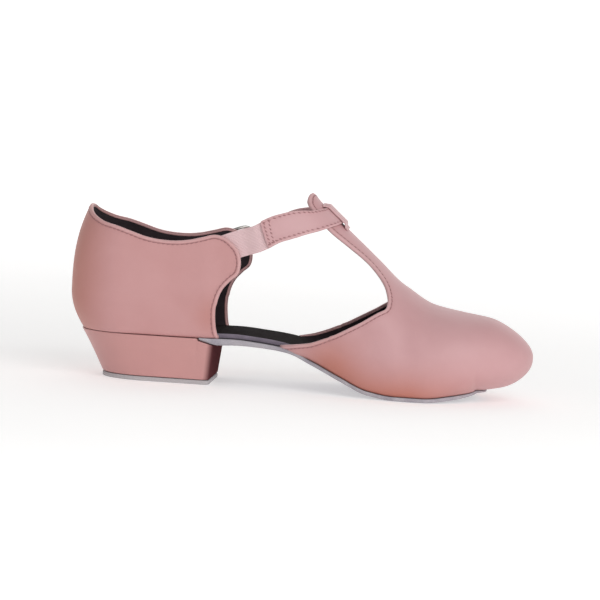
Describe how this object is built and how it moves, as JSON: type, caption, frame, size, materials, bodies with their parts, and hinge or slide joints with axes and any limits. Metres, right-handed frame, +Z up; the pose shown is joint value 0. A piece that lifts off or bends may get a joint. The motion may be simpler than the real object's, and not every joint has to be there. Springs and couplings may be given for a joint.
{
  "type": "dance teacher shoe",
  "caption": "Left dance teacher shoe: T-strap sandal with a closed round toe, closed heel part, buckled instep strap, low covered block heel and thin suede sole.",
  "frame": {"origin": "middle of the heel's top piece, on the plane that the shoe stands on", "axes": "+X to the toe, +Y to the wearer's left, which is the outer side of this left shoe, +Z up"},
  "size_m": [0.252, 0.0837, 0.1056],
  "materials": {
    "leather": "smooth matte dusty pink, soft sheen",
    "strap_leather": "smooth matte dusty pink, a little lighter",
    "elastic": "fine woven ribs, matte",
    "insole": "grey sock lining over a fibre board, matte",
    "suede": "light grey suede, napped",
    "top_piece": "light grey suede on the heel, napped",
    "metal": "polished nickel"
  },
  "bodies": {
    "root": {"outsole": "suede", "insole": "insole", "heel_block": "leather", "top_piece": "top_piece", "quarter": "leather", "vamp": "leather", "strap": "strap_leather", "elastic": "elastic", "strap_keeper": "leather", "buckle_frame": "metal", "buckle_prong": "metal", "buckle_tab": "leather"}
  },
  "joints": []
}
